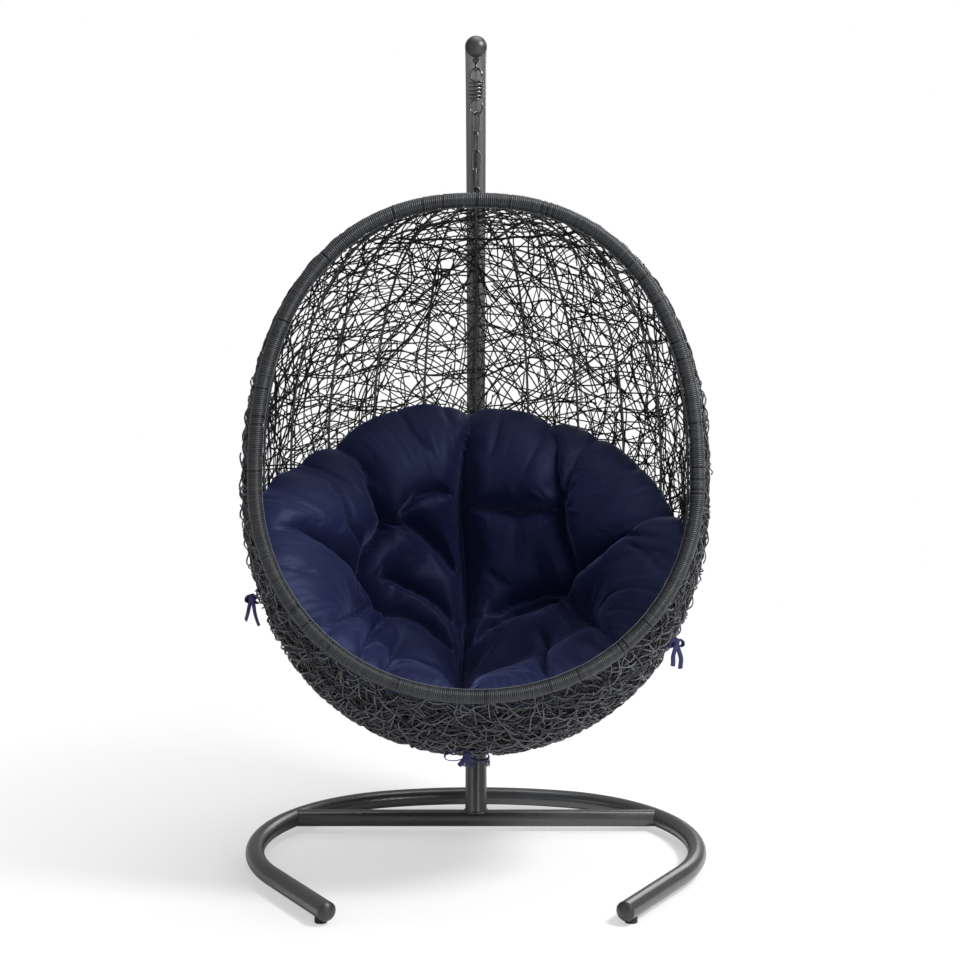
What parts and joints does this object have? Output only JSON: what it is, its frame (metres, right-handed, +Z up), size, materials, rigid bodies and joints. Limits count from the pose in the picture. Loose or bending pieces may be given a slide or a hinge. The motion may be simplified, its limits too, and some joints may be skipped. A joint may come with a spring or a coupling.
{
  "type": "hanging egg chair",
  "caption": "Hanging egg chair: woven egg-shaped basket with a padded cushion, hung by a spring and chain from a curved post on a C-shaped floor base.",
  "frame": {"origin": "on the floor, under the middle of the chair's bounding box", "axes": "+Z up; the chair's open side faces -Y; +X is to the right of someone who stands in front and looks at it"},
  "size_m": [1.0998, 1.0523, 1.9218],
  "materials": {
    "charcoal_paint": "charcoal powder coat, satin",
    "socket_paint": "charcoal powder coat, satin",
    "cap_plastic": "black moulded caps",
    "pad_rubber": "black rubber",
    "bolt_steel": "bright zinc-plated bolts",
    "spring_steel": "dark blued steel, glossy",
    "chain_steel": "dark blued steel, glossy",
    "frame_paint": "black powder coat",
    "wicker": "dark grey round wicker strand",
    "rim_wicker": "dark grey strand wound close",
    "cushion_fabric": "navy satin-faced polyester",
    "tie_ribbon": "navy ribbon"
  },
  "bodies": {
    "stand": {"base_rear": "charcoal_paint", "base_left": "charcoal_paint", "base_right": "charcoal_paint", "crossbar": "charcoal_paint", "foot_cap_left": "cap_plastic", "foot_cap_right": "cap_plastic", "foot_pads": "pad_rubber", "post_socket": "socket_paint", "socket_bolt": "bolt_steel", "socket_washers": "bolt_steel", "socket_nut": "bolt_steel", "post_lower": "charcoal_paint", "post_sleeve": "charcoal_paint", "post_upper": "charcoal_paint", "joint_screws": "bolt_steel", "top_cap": "cap_plastic", "eye_bolt": "spring_steel", "eye_washers": "spring_steel", "eye_cap_nut": "spring_steel"},
    "spring_top": {"spring_top_hook": "spring_steel", "spring_coil": "spring_steel"},
    "spring_bottom": {"spring_bottom_hook": "spring_steel"},
    "link_1": {"chain_link_1": "chain_steel"},
    "link_2": {"chain_link_2": "chain_steel"},
    "link_3": {"chain_link_3": "chain_steel"},
    "link_4": {"chain_link_4": "chain_steel"},
    "basket": {"basket_eye": "spring_steel", "basket_eye_nut": "spring_steel", "top_plate": "frame_paint", "bottom_plate": "frame_paint", "ribs_back": "frame_paint", "ribs_front_top": "frame_paint", "ribs_front_bottom": "frame_paint", "rim_hoop": "frame_paint", "rim_wrap": "rim_wicker", "basket_weave": "wicker", "cushion": "cushion_fabric", "tie_left": "tie_ribbon", "tie_right": "tie_ribbon", "tie_bottom": "tie_ribbon"}
  },
  "joints": [
    {"name": "hook_swing", "type": "hinge", "parent": "stand", "child": "spring_top", "pos_m": [0, -0.20782, 1.84546], "axis": [0, 1, 0], "range_deg": [-6, 6]},
    {"name": "spring_bounce", "type": "slide", "parent": "spring_top", "child": "spring_bottom", "axis": [0, 0, -1], "range_m": [-0.008, 0.025], "stiffness_N_per_m": 18000, "springref_m": -0.03586, "deforming": ["spring_coil"]},
    {"name": "link_1_swing", "type": "hinge", "parent": "spring_bottom", "child": "link_1", "pos_m": [0, -0.20782, 1.75166], "axis": [0.9063, -0.4226, 0], "range_deg": [-6.5, 1.2]},
    {"name": "link_2_swing", "type": "hinge", "parent": "link_1", "child": "link_2", "pos_m": [0, -0.20782, 1.71051], "axis": [0.848, 0.5299, 0], "range_deg": [-6.5, 1.2]},
    {"name": "link_3_swing", "type": "hinge", "parent": "link_2", "child": "link_3", "pos_m": [0, -0.20782, 1.66911], "axis": [-0.3746, 0.9272, 0], "range_deg": [-6, 6]},
    {"name": "link_4_swing", "type": "hinge", "parent": "link_3", "child": "link_4", "pos_m": [0, -0.20782, 1.62771], "axis": [1, 0, 0], "range_deg": [-6.5, 1.5]},
    {"name": "basket_turn", "type": "hinge", "parent": "link_4", "child": "basket", "pos_m": [0, -0.20782, 1.58631], "axis": [0, 0, 1], "range_deg": [-30, 30]}
  ]
}
